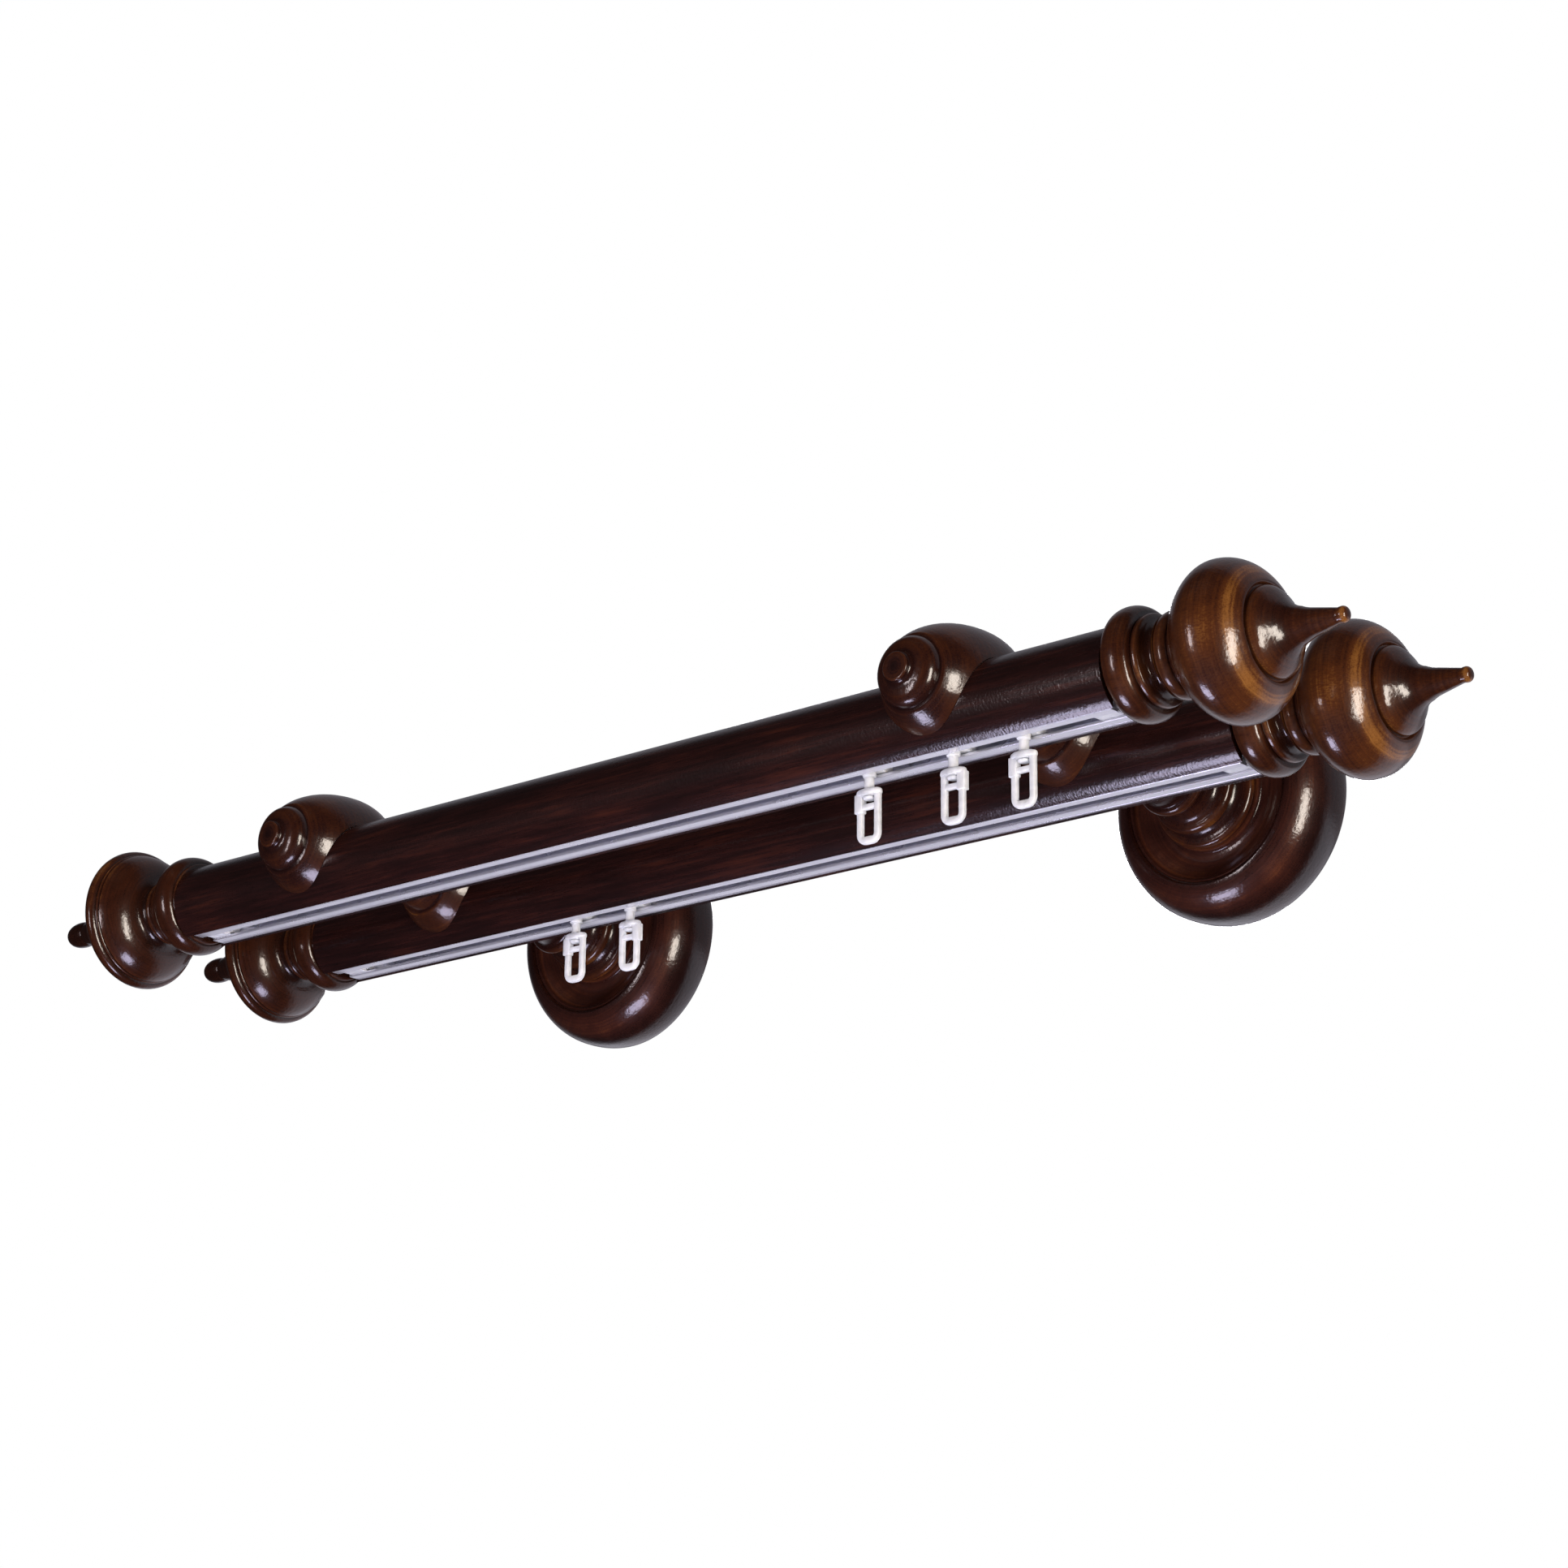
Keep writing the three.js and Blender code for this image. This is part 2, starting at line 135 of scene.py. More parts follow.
def turned_beech(name, centre, along, shades):
    """Beech turned on a lathe, stained brown and lacquered glossy.

    The eye gets fine dark and light rings round the axis from the gouge and the sanding, short dark
    ray flecks along the grain, faint growth rings, stain that pools in the coves and rubs thin on the
    ridges, with painted shade in the coves and painted light in some bands, and a hard clear gloss with
    a slight ripple, about 1 mm from crest to crest.
    """
    material, tree, shader = new_material(name)
    coords = put(tree, "ShaderNodeTexCoord")
    turn = (0, 0, 0) if along == "x" else (0, 0, math.pi / 2)
    place = Vector(centre) * MM
    place.rotate(Matrix.Rotation(turn[2], 3, "Z"))
    local = put(tree, "ShaderNodeMapping", {
        "Vector": coords.outputs["Object"],
        "Location": tuple(-place),
        "Rotation": turn,
    }).outputs[0]
    parts = put(tree, "ShaderNodeSeparateXYZ", {0: local})
    across = put(tree, "ShaderNodeCombineXYZ", {"Y": parts.outputs["Y"], "Z": parts.outputs["Z"]})
    radius = put(tree, "ShaderNodeVectorMath", {0: across.outputs[0]}, operation="LENGTH").outputs["Value"]
    wander = put(tree, "ShaderNodeTexNoise", {"Vector": local, "Scale": 60.0, "Detail": 3.0})

    # Growth rings, about 2 mm apart, round a pith that lies outside the blank.
    pith = put(tree, "ShaderNodeVectorMath", {0: local, 1: (0.0, 0.031, -0.024)}, operation="ADD")
    swayed = put(tree, "ShaderNodeVectorMath", {0: wander.outputs["Color"], 1: (0.0, 0.004, 0.004),
                 2: pith.outputs[0]}, operation="MULTIPLY_ADD")
    flat = put(tree, "ShaderNodeVectorMath", {0: swayed.outputs[0], 1: (0.0, 1.0, 1.0)}, operation="MULTIPLY")
    ring_distance = put(tree, "ShaderNodeVectorMath", {0: flat.outputs[0]}, operation="LENGTH")
    ring_line = put(tree, "ShaderNodeCombineXYZ", {"X": ring_distance.outputs["Value"]})
    rings = put(tree, "ShaderNodeTexNoise", {"Vector": ring_line.outputs[0], "Scale": 500.0, "Detail": 2.0})

    # Gouge rings, about 0.8 mm apart: nearly constant round the axis, broken by the wander.
    lathe_line = put(tree, "ShaderNodeCombineXYZ", {"X": parts.outputs["X"], "Y": radius})
    lathe_sway = put(tree, "ShaderNodeVectorMath", {0: wander.outputs["Color"], 1: (0.0016, 0.0016, 0.0),
                     2: lathe_line.outputs[0]}, operation="MULTIPLY_ADD")
    gouge = put(tree, "ShaderNodeTexNoise", {"Vector": lathe_sway.outputs[0], "Scale": 1200.0, "Detail": 4.0,
                "Roughness": 0.65})

    # Ray flecks of beech, about 2 mm long and 0.4 mm wide.
    fleck_space = put(tree, "ShaderNodeMapping", {"Vector": local, "Scale": (450.0, 2600.0, 2600.0)})
    flecks = put(tree, "ShaderNodeTexNoise", {"Vector": fleck_space.outputs[0], "Scale": 1.0, "Detail": 2.0,
                 "Roughness": 0.6})
    clouds = put(tree, "ShaderNodeTexNoise", {"Vector": local, "Scale": 55.0, "Detail": 3.0})

    # Wear and stain from the turned profile, with painted shade in the coves and painted light in some bands.
    wear = put(tree, "ShaderNodeAttribute", attribute_name="wear")
    tone = -0.27
    for pattern, weight in ((rings, 0.14), (gouge, 0.42), (clouds, 0.60), (flecks, 0.36), (wear, 0.22)):
        tone = put(tree, "ShaderNodeMath", {0: pattern.outputs["Fac"], 1: weight, 2: tone},
                   operation="MULTIPLY_ADD").outputs[0]
    stain = put(tree, "ShaderNodeValToRGB", {0: tone},
                stops=list(zip((0.22, 0.44, 0.66, 0.98), shades))).outputs[0]

    peel_noise = put(tree, "ShaderNodeTexNoise", {"Vector": local, "Scale": 800.0, "Detail": 1.0})
    relief = put(tree, "ShaderNodeMath", {0: gouge.outputs["Fac"], 1: 0.5, 2: peel_noise.outputs["Fac"]},
                 operation="MULTIPLY_ADD")
    ripple = put(tree, "ShaderNodeBump", {"Height": relief.outputs[0], "Strength": 0.45,
                 "Distance": 0.00012}).outputs[0]
    sheen_patch = put(tree, "ShaderNodeMapRange", {"Value": clouds.outputs["Fac"], "From Min": 0.3,
                      "From Max": 0.7, "To Min": 0.32, "To Max": 0.45})
    give(tree, shader, {
        "Base Color": speckled(tree, stain, flecks.outputs["Fac"], 0.60, 0.75, 0.6),
        "Roughness": sheen_patch.outputs[0],
        "Normal": ripple,
        "Coat Normal": ripple,
        "IOR": 1.5,
        "Specular IOR Level": 0.08,
        "Coat Weight": 1.0,
        "Coat Roughness": 0.16,
    })
    return material


def grooved_rod_beech():
    """Beech dowel rod, stained almost black-brown and sprayed with thick lacquer.

    The eye gets reddish grain drawn out along the rod, 30 mm long and 1.6 mm wide, pores as short
    dashes, and the ripple of sprayed lacquer, 0.7 to 1.1 mm from crest to crest, that breaks the
    highlights. Real pores are finer: they are drawn 0.3 mm wide and 4 mm long, so that they show.
    """
    material, tree, shader = new_material("dark_lacquered_rod_beech")
    coords = put(tree, "ShaderNodeTexCoord").outputs["Object"]
    grain_space = put(tree, "ShaderNodeMapping", {"Vector": coords, "Scale": (34.0, 620.0, 620.0)})
    grain = put(tree, "ShaderNodeTexNoise", {"Vector": grain_space.outputs[0], "Scale": 1.0, "Detail": 5.0,
                "Roughness": 0.62})
    pore_space = put(tree, "ShaderNodeMapping", {"Vector": coords, "Scale": (260.0, 3600.0, 3600.0)})
    pores = put(tree, "ShaderNodeTexNoise", {"Vector": pore_space.outputs[0], "Scale": 1.0, "Detail": 1.0})
    clouds = put(tree, "ShaderNodeTexNoise", {"Vector": coords, "Scale": 22.0, "Detail": 3.0})
    tone = put(tree, "ShaderNodeMath", {0: clouds.outputs["Fac"], 1: 0.5, 2: grain.outputs["Fac"]},
               operation="MULTIPLY_ADD")
    colour = put(tree, "ShaderNodeValToRGB", {0: tone.outputs[0]}, stops=[
        (0.45, "#110706"), (0.66, "#190a09"), (0.82, "#220e0c"), (1.0, "#341710")]).outputs[0]
    peel_space = put(tree, "ShaderNodeMapping", {"Vector": coords, "Scale": (1500.0, 900.0, 900.0)})
    peel = put(tree, "ShaderNodeTexNoise", {"Vector": peel_space.outputs[0], "Scale": 1.0, "Detail": 1.5})
    ripple = put(tree, "ShaderNodeBump", {"Height": peel.outputs["Fac"], "Strength": 0.6,
                 "Distance": 0.0001}).outputs[0]
    give(tree, shader, {
        "Base Color": speckled(tree, colour, pores.outputs["Fac"], 0.60, 0.74, 0.55),
        "Roughness": 0.45,
        "Normal": ripple,
        "Coat Normal": ripple,
        "IOR": 1.5,
        "Specular IOR Level": 0.08,
        "Coat Weight": 1.0,
        "Coat Roughness": 0.17,
    })
    return material


def extruded_aluminium():
    """Mill-finish aluminium from an extrusion die.

    The eye gets a bright satin metal with faint die lines that run along the track. The real lines are
    finer: they are drawn about 0.25 mm apart, so that they show.
    """
    material, tree, shader = new_material("extruded_aluminium")
    coords = put(tree, "ShaderNodeTexCoord").outputs["Object"]
    line_space = put(tree, "ShaderNodeMapping", {"Vector": coords, "Scale": (6.0, 4200.0, 4200.0)})
    lines = put(tree, "ShaderNodeTexNoise", {"Vector": line_space.outputs[0], "Scale": 1.0, "Detail": 2.0})
    smudges = put(tree, "ShaderNodeTexNoise", {"Vector": coords, "Scale": 55.0, "Detail": 3.0})
    colour = put(tree, "ShaderNodeValToRGB", {0: lines.outputs["Fac"]}, stops=[
        (0.30, "#ccccd6"), (0.55, "#e0e0e8"), (0.75, "#f0f0f4")])
    satin = put(tree, "ShaderNodeMapRange", {"Value": smudges.outputs["Fac"], "From Min": 0.3,
                "From Max": 0.7, "To Min": 0.24, "To Max": 0.34})
    die = put(tree, "ShaderNodeBump", {"Height": lines.outputs["Fac"], "Strength": 0.2, "Distance": 0.00003})
    give(tree, shader, {
        "Base Color": colour.outputs[0],
        "Roughness": satin.outputs[0],
        "Normal": die.outputs[0],
        "Metallic": 0.75,
    })
    return material


def moulded_polypropylene():
    """Natural polypropylene, injection moulded.

    The eye gets a milky white that lets a little light through, with flow clouds 2.4 mm across and a
    waxy soft gloss. The mould's fine skin is drawn coarse, 0.4 mm across, so that it shows.
    """
    material, tree, shader = new_material("milky_polypropylene")
    coords = put(tree, "ShaderNodeTexCoord").outputs["Object"]
    flow = put(tree, "ShaderNodeTexNoise", {"Vector": coords, "Scale": 420.0, "Detail": 3.0})
    colour = put(tree, "ShaderNodeValToRGB", {0: flow.outputs["Fac"]}, stops=[
        (0.30, "#c4c6c8"), (0.50, "#d0d2d4"), (0.70, "#dadbdc")])
    skin = put(tree, "ShaderNodeTexNoise", {"Vector": coords, "Scale": 2600.0, "Detail": 1.0})
    texture = put(tree, "ShaderNodeBump", {"Height": skin.outputs["Fac"], "Strength": 0.15,
                  "Distance": 0.00005})
    gloss = put(tree, "ShaderNodeMapRange", {"Value": flow.outputs["Fac"], "From Min": 0.3,
                "From Max": 0.7, "To Min": 0.3, "To Max": 0.45})
    give(tree, shader, {
        "Base Color": colour.outputs[0],
        "Roughness": gloss.outputs[0],
        "Normal": texture.outputs[0],
        "IOR": 1.49,
        "Subsurface Weight": 1.0,
        "Subsurface Radius": (1.0, 0.95, 0.9),
        "Subsurface Scale": 0.004,
    })
    return material


def zinc_plated_steel():
    """Pressed steel with bright zinc plating.

    The eye gets a cool grey metal with faint crystal patches, 2 mm across, and rolling lines, which are
    drawn coarse, 0.4 mm apart, so that they show.
    """
    material, tree, shader = new_material("zinc_plated_steel")
    coords = put(tree, "ShaderNodeTexCoord").outputs["Object"]
    crystals = put(tree, "ShaderNodeTexVoronoi", {"Vector": coords, "Scale": 480.0})
    rolled_space = put(tree, "ShaderNodeMapping", {"Vector": coords, "Scale": (150.0, 150.0, 2600.0)})
    rolled = put(tree, "ShaderNodeTexNoise", {"Vector": rolled_space.outputs[0], "Scale": 1.0, "Detail": 2.0})
    tone = put(tree, "ShaderNodeMath", {0: crystals.outputs["Color"], 1: 0.3, 2: rolled.outputs["Fac"]},
               operation="MULTIPLY_ADD")
    colour = put(tree, "ShaderNodeValToRGB", {0: tone.outputs[0]}, stops=[
        (0.35, "#8f9296"), (0.60, "#aeb1b4"), (0.90, "#c8cacb")])
    dull = put(tree, "ShaderNodeMapRange", {"Value": rolled.outputs["Fac"], "From Min": 0.3,
               "From Max": 0.7, "To Min": 0.28, "To Max": 0.42})
    press = put(tree, "ShaderNodeBump", {"Height": rolled.outputs["Fac"], "Strength": 0.2,
                "Distance": 0.00005})
    give(tree, shader, {
        "Base Color": colour.outputs[0],
        "Roughness": dull.outputs[0],
        "Normal": press.outputs[0],
        "Metallic": 1.0,
    })
    return material


def bare_beech():
    """Bare beech dowel pin. Its pressed flutes are left out.

    The eye gets dry pale wood with fine darker grain along the pin, 0.7 mm wide.
    """
    material, tree, shader = new_material("bare_beech")
    coords = put(tree, "ShaderNodeTexCoord").outputs["Object"]
    grain_space = put(tree, "ShaderNodeMapping", {"Vector": coords, "Scale": (60.0, 1500.0, 1500.0)})
    grain = put(tree, "ShaderNodeTexNoise", {"Vector": grain_space.outputs[0], "Scale": 1.0, "Detail": 3.0})
    colour = put(tree, "ShaderNodeValToRGB", {0: grain.outputs["Fac"]}, stops=[
        (0.30, "#a87b4e"), (0.55, "#c69a69"), (0.75, "#d9b384")])
    fibre = put(tree, "ShaderNodeBump", {"Height": grain.outputs["Fac"], "Strength": 0.3, "Distance": 0.0001})
    give(tree, shader, {
        "Base Color": colour.outputs[0],
        "Roughness": 0.75,
        "Normal": fibre.outputs[0],
    })
    return material


# Shades from the coves, where stain pools and painted shade falls, to the ridges, where stain rubs thin.
AMBER = ("#180805", "#2b130a", "#46240f", "#8c5c2a")
# The bells' shades: the amber made darker as painted shade, because the left end lies in dimmer light.
BELL_AMBER_IN_PAINTED_SHADE = ("#120504", "#1e0c06", "#33170b", "#704621")
BRACKET_AMBER = ("#130605", "#210d09", "#3a1c0d", "#85531f")
ROSE_BROWN = ("#120605", "#1e0c09", "#321710", "#5c321c")

rod_beech = grooved_rod_beech()
aluminium = extruded_aluminium()
plastic = moulded_polypropylene()
zinc = zinc_plated_steel()
dowel_beech = bare_beech()


# ---------------------------------------------------------------- turning and drawing trees

WELD = 0.000004  # metres


def open_tree(name, result, inputs):
    """Starts a tree with named inputs and one geometry as its result. Returns it and its inputs."""
    tree = bpy.data.node_groups.new(name, "GeometryNodeTree")
    for label, kind in inputs:
        tree.interface.new_socket(name=label, in_out="INPUT", socket_type=f"NodeSocket{kind}")
    tree.interface.new_socket(name=result, in_out="OUTPUT", socket_type="NodeSocketGeometry")
    return tree, put(tree, "NodeGroupInput").outputs


def close_tree(tree, body, finish):
    """Welds the seams, makes instances real and gives the finish."""
    body = put(tree, "GeometryNodeMergeByDistance", {"Geometry": body, "Distance": WELD}).outputs[0]
    body = put(tree, "GeometryNodeRealizeInstances", {"Geometry": body}).outputs[0]
    body = put(tree, "GeometryNodeSetMaterial", {"Geometry": body, "Material": finish}).outputs[0]
    put(tree, "NodeGroupOutput", {0: body})
    return tree


def turning_tree():
    """Turns a profile, given as a line of points (distance, radius), round the X axis."""
    tree, given = open_tree("turning", "Turned piece", (
        ("Profile", "Geometry"), ("Sides", "Int"), ("Finish", "Material")))
    count = put(tree, "GeometryNodeAttributeDomainSize", {0: given["Profile"]}, component="MESH")
    columns = put(tree, "FunctionNodeIntegerMath", {0: given["Sides"], 1: 1}, operation="ADD").outputs[0]
    sheet = put(tree, "GeometryNodeMeshGrid", {"Vertices X": count.outputs["Point Count"],
                "Vertices Y": columns})
    index = put(tree, "GeometryNodeInputIndex").outputs[0]
    row = put(tree, "FunctionNodeIntegerMath", {0: index, 1: columns}, operation="DIVIDE").outputs[0]
    column = put(tree, "FunctionNodeIntegerMath", {0: index, 1: columns}, operation="MODULO").outputs[0]
    place = put(tree, "GeometryNodeInputPosition").outputs[0]
    point = put(tree, "GeometryNodeSampleIndex", {"Geometry": given["Profile"], "Value": place,
                "Index": row}, data_type="FLOAT_VECTOR")
    # Wear and stain, with painted shade and painted light, carried from the profile line to the surface.
    tone_bands = put(tree, "GeometryNodeInputNamedAttribute", {"Name": "wear"}, data_type="FLOAT").outputs[0]
    wear = put(tree, "GeometryNodeSampleIndex", {"Geometry": given["Profile"], "Value": tone_bands,
               "Index": row}, data_type="FLOAT")
    parts = put(tree, "ShaderNodeSeparateXYZ", {0: point.outputs[0]})
    step = put(tree, "ShaderNodeMath", {0: 2 * math.pi, 1: given["Sides"]}, operation="DIVIDE").outputs[0]
    angle = put(tree, "ShaderNodeMath", {0: column, 1: step}, operation="MULTIPLY").outputs[0]
    sine = put(tree, "ShaderNodeMath", {0: angle}, operation="SINE").outputs[0]
    cosine = put(tree, "ShaderNodeMath", {0: angle}, operation="COSINE").outputs[0]
    y = put(tree, "ShaderNodeMath", {0: parts.outputs["Y"], 1: cosine}, operation="MULTIPLY").outputs[0]
    z = put(tree, "ShaderNodeMath", {0: parts.outputs["Y"], 1: sine}, operation="MULTIPLY").outputs[0]
    spun = put(tree, "ShaderNodeCombineXYZ", {"X": parts.outputs["X"], "Y": y, "Z": z}).outputs[0]
    body = put(tree, "GeometryNodeStoreNamedAttribute", {"Geometry": sheet.outputs["Mesh"], "Name": "wear",
               "Value": wear.outputs[0]}, data_type="FLOAT", domain="POINT").outputs[0]
    body = put(tree, "GeometryNodeSetPosition", {"Geometry": body, "Position": spun}).outputs[0]
    return close_tree(tree, body, given["Finish"])


def drawing_tree():
    """Draws a flat section along a path, as an extrusion die or a spindle moulder does."""
    tree, given = open_tree("drawn_along_path", "Drawn piece", (
        ("Path", "Geometry"), ("Section", "Object"), ("Finish", "Material")))
    section = put(tree, "GeometryNodeObjectInfo", {"Object": given["Section"]})
    path = put(tree, "GeometryNodeMeshToCurve", {0: given["Path"]}).outputs[0]
    steady = put(tree, "GeometryNodeSetCurveNormal", {0: path}, mode="MINIMUM_TWIST").outputs[0]
    outline = put(tree, "GeometryNodeMeshToCurve", {0: section.outputs["Geometry"]}).outputs[0]
    body = put(tree, "GeometryNodeCurveToMesh", {"Curve": steady, "Profile Curve": outline,
               "Fill Caps": True}).outputs[0]
    return close_tree(tree, body, given["Finish"])


TURNING = turning_tree()
DRAWING = drawing_tree()


def wire(name, points, closed=False, wear=None):
    """A line of points as a mesh of edges, in metres."""
    mesh = bpy.data.meshes.new(name)
    edges = [(i, i + 1) for i in range(len(points) - 1)]
    if closed:
        edges.append((len(points) - 1, 0))
    mesh.from_pydata([Vector(p) * MM for p in points], edges, [])
    if wear is not None:
        mesh.attributes.new("wear", "FLOAT", "POINT").data.foreach_set("value", wear)
    line = bpy.data.objects.new(name, mesh)
    bpy.context.scene.collection.objects.link(line)
    return line


def grown(line, tree, values):
    """Runs a tree on the line, and returns the result as a plain mesh object of the same name."""
    modifier = line.modifiers.new(tree.name, "NODES")
    modifier.node_group = tree
    sockets = {item.name: item.identifier for item in tree.interface.items_tree if item.in_out == "INPUT"}
    for key, value in values.items():
        modifier[sockets[key]] = value
    bpy.context.view_layer.update()
    seen = line.evaluated_get(bpy.context.evaluated_depsgraph_get())
    mesh = bpy.data.meshes.new_from_object(seen)
    name = line.name
    bpy.data.objects.remove(line)
    mesh.name = name
    piece = bpy.data.objects.new(name, mesh)
    bpy.context.scene.collection.objects.link(piece)
    return piece


def outward(piece, crease=38.0):
    """Turns every face outwards, and keeps the edges sharper than the crease angle crisp."""
    work = bmesh.new()
    work.from_mesh(piece.data)
    bmesh.ops.recalc_face_normals(work, faces=work.faces)
    if work.calc_volume(signed=True) < 0:
        bmesh.ops.reverse_faces(work, faces=work.faces)
    work.to_mesh(piece.data)
    work.free()
    piece.data.polygons.foreach_set("use_smooth", [True] * len(piece.data.polygons))
    piece.data.set_sharp_from_angle(angle=math.radians(crease))
    piece.data.update()
    return piece


def cut(piece, cutters, operation="DIFFERENCE"):
    """Cuts the cutters out of the piece, or joins them to it, and removes them."""
    for cutter in cutters:
        modifier = piece.modifiers.new("cut", "BOOLEAN")
        modifier.operation = operation
        modifier.solver = "EXACT"
        modifier.object = cutter
    seen = piece.evaluated_get(bpy.context.evaluated_depsgraph_get())
    mesh = bpy.data.meshes.new_from_object(seen)
    piece.modifiers.clear()
    old = piece.data
    piece.data = mesh
    mesh.name = piece.name
    bpy.data.meshes.remove(old)
    for cutter in cutters:
        bpy.data.objects.remove(cutter)
    return piece


def drill(radius, depth, start, direction, sides=48):
    """A plain cylinder to cut a hole with, in millimetres, from start along a direction."""
    mesh = bpy.data.meshes.new("drill")
    work = bmesh.new()
    bmesh.ops.create_cone(work, cap_ends=True, segments=sides, radius1=radius * MM, radius2=radius * MM,
                          depth=depth * MM)
    way = Vector(direction).normalized()
    middle = Vector(start) * MM + way * depth * MM / 2
    turn = Vector((0, 0, 1)).rotation_difference(way).to_matrix().to_4x4()
    bmesh.ops.transform(work, matrix=Matrix.Translation(middle) @ turn, verts=work.verts)
    work.to_mesh(mesh)
    work.free()
    bit = bpy.data.objects.new("drill", mesh)
    bpy.context.scene.collection.objects.link(bit)
    return bit


# ---------------------------------------------------------------- turned profiles

class Profile:
    """A turner's profile: points as (distance along the axis, radius), in millimetres."""

    STEP = 0.45

    def __init__(self, distance, radius):
        self.points = [(distance, radius)]

    def line(self, distance, radius):
        x0, r0 = self.points[-1]
        pieces = max(1, round(math.hypot(distance - x0, radius - r0) / self.STEP))
        for i in range(1, pieces + 1):
            t = i / pieces
            self.points.append((x0 + (distance - x0) * t, r0 + (radius - r0) * t))
        return self

    def curve(self, *controls):
        """A quadratic or a cubic curve through (distance, radius) controls."""
        p = [self.points[-1], *controls]
        span = sum(math.dist(p[i], p[i + 1]) for i in range(len(p) - 1))
        pieces = max(3, round(span / self.STEP))
        n = len(p) - 1
        for i in range(1, pieces + 1):
            t = i / pieces
            weights = [math.comb(n, k) * (1 - t) ** (n - k) * t ** k for k in range(n + 1)]
            self.points.append(tuple(sum(w * q[axis] for w, q in zip(weights, p)) for axis in (0, 1)))
        return self

    def bead(self, start, end, base, top):
        """A half-round bead, or a cove where the top is below the base."""
        self.line(start, base)
        half = (end - start) / 2
        pieces = max(8, round(math.pi * max(half, abs(top - base)) / self.STEP))
        for i in range(1, pieces + 1):
            a = math.pi * i / pieces
            self.points.append((start + half - half * math.cos(a), base + (top - base) * math.sin(a)))
        return self

    def proud(self, i, reach):
        """How far a point stands out past the mean radius of its neighbours, that many on each side."""
        near = [radius for _, radius in self.points[max(0, i - reach):i + reach + 1]]
        return self.points[i][1] - sum(near) / len(near)

    def wear(self, tone_bands):
        """Stain rubs thin where a point stands proud, and pools in the coves, which also take painted shade.

        Bands add to it, and some of them are painted light: each one is (middle, half width, amount) along
        the axis.
        """
        values = []
        for i, (x, _) in enumerate(self.points):
            # Coves go darker and ridges lighter: stain that pools and rubs thin, and painted shade in the
            # coves.
            value = self.proud(i, 4) * 1.6 + self.proud(i, 16) * 0.12
            for middle, half, amount in tone_bands:
                value += amount * math.exp(-((x - middle) / half) ** 2)
            values.append(max(-1.0, min(1.5, value)))
        return values


def turn(name, profile, sides, finish, matrix, tone_bands=()):
    """Turns a profile into a piece, and sets it in its place."""
    points = [(x, r, 0.0) for x, r in profile.points]
    line = wire(name, points, wear=profile.wear(tone_bands))
    piece = grown(line, TURNING, {"Sides": sides, "Finish": finish})
    piece.data.transform(matrix)
    return outward(piece)


SOCKET_DEPTH = 18.5
SOCKET_RADIUS = 3.65


def finial_start(crest):
    """The socket for the dowel, the flat back and the collar bead, alike on every finial."""
    profile = Profile(SOCKET_DEPTH, 0).line(SOCKET_DEPTH, SOCKET_RADIUS).line(0, SOCKET_RADIUS)
    return profile.line(0, 13.5).curve((0, 13.8), (0.4, 13.9)).bead(0.5, 9.2, 13.9, crest)


def onion_profile():
    """Collar bead, cove, rings, onion bulb with its step, dome, and a spire with a small knob."""
    p = finial_start(16.6)
    p.line(9.4, 13.0).curve((9.6, 13.4), (10.2, 13.4)).line(11.0, 13.3).curve((11.6, 13.2), (11.7, 12.4))
    p.bead(11.8, 15.8, 12.2, 9.8)
    p.bead(16.1, 20.3, 11.6, 12.7)
    p.line(20.6, 11.7).curve((20.8, 12.3), (21.6, 12.3)).line(21.8, 12.8)
    p.curve((23, 15.5), (28.5, 23), (34.5, 23.1))
    p.curve((41, 23.1), (45, 18.7), (47.0, 14.7)).curve((47.2, 14.2), (46.9, 13.9))
    p.line(46.0, 13.3).line(46.0, 12.8).line(47.2, 13.0)
    p.curve((50.8, 12.8), (51.6, 6.4), (57, 5))
    p.curve((58.5, 4.2), (60.5, 3.8)).line(67.9, 2.15)
    p.curve((68.6, 2.3), (69.4, 2.3)).curve((70.9, 2.0), (70.9, 0))
    return p


def bell_profile():
    """Collar bead, cove, rings, a bell with a rim bead, a long sweep, and a round knob."""
    p = finial_start(16.8)
    p.line(9.3, 12.0).bead(9.8, 15.6, 10.6, 12.2)
    p.line(15.8, 10.4).curve((16.2, 11.3), (17.1, 11.3)).curve((18.2, 11.3), (18.6, 10.2))
    p.curve((20.5, 10.2), (21.3, 11.5), (21.8, 13.5))
    p.curve((22.8, 17.5), (25.5, 20.5), (29.4, 21.9))
    p.line(29.5, 21.4).line(29.9, 21.4).curve((30.0, 22.3), (30.6, 22.3)).line(30.7, 21.9).line(31.0, 22.0)
    p.curve((31.4, 23.9), (33.2, 23.9)).curve((35.2, 23.9), (35.4, 22.0))
    p.line(35.4, 20.9).line(36, 20.5)
    p.curve((42.5, 17.5), (46, 7.5), (55, 5.4))
    p.curve((58.5, 4.6), (61, 4)).curve((63, 4.9), (70.9, 4.8), (70.9, 0))
    return p


def add_bulge(p, neck_start, rod):
    """The bulge that a rod runs through. The rod's distance from the wall is its middle."""
    p.line(neck_start, 9.2)
    p.curve((rod - 20, 9.4), (rod - 17, 19.1), (rod - 3, 19.1))
    p.curve((rod + 8, 19.1), (rod + 15.2, 15.4), (rod + 19.0, 12.2))
    p.curve((rod + 19.6, 11.8), (rod + 19.7, 11.3)).line(rod + 20.0, 10.7)


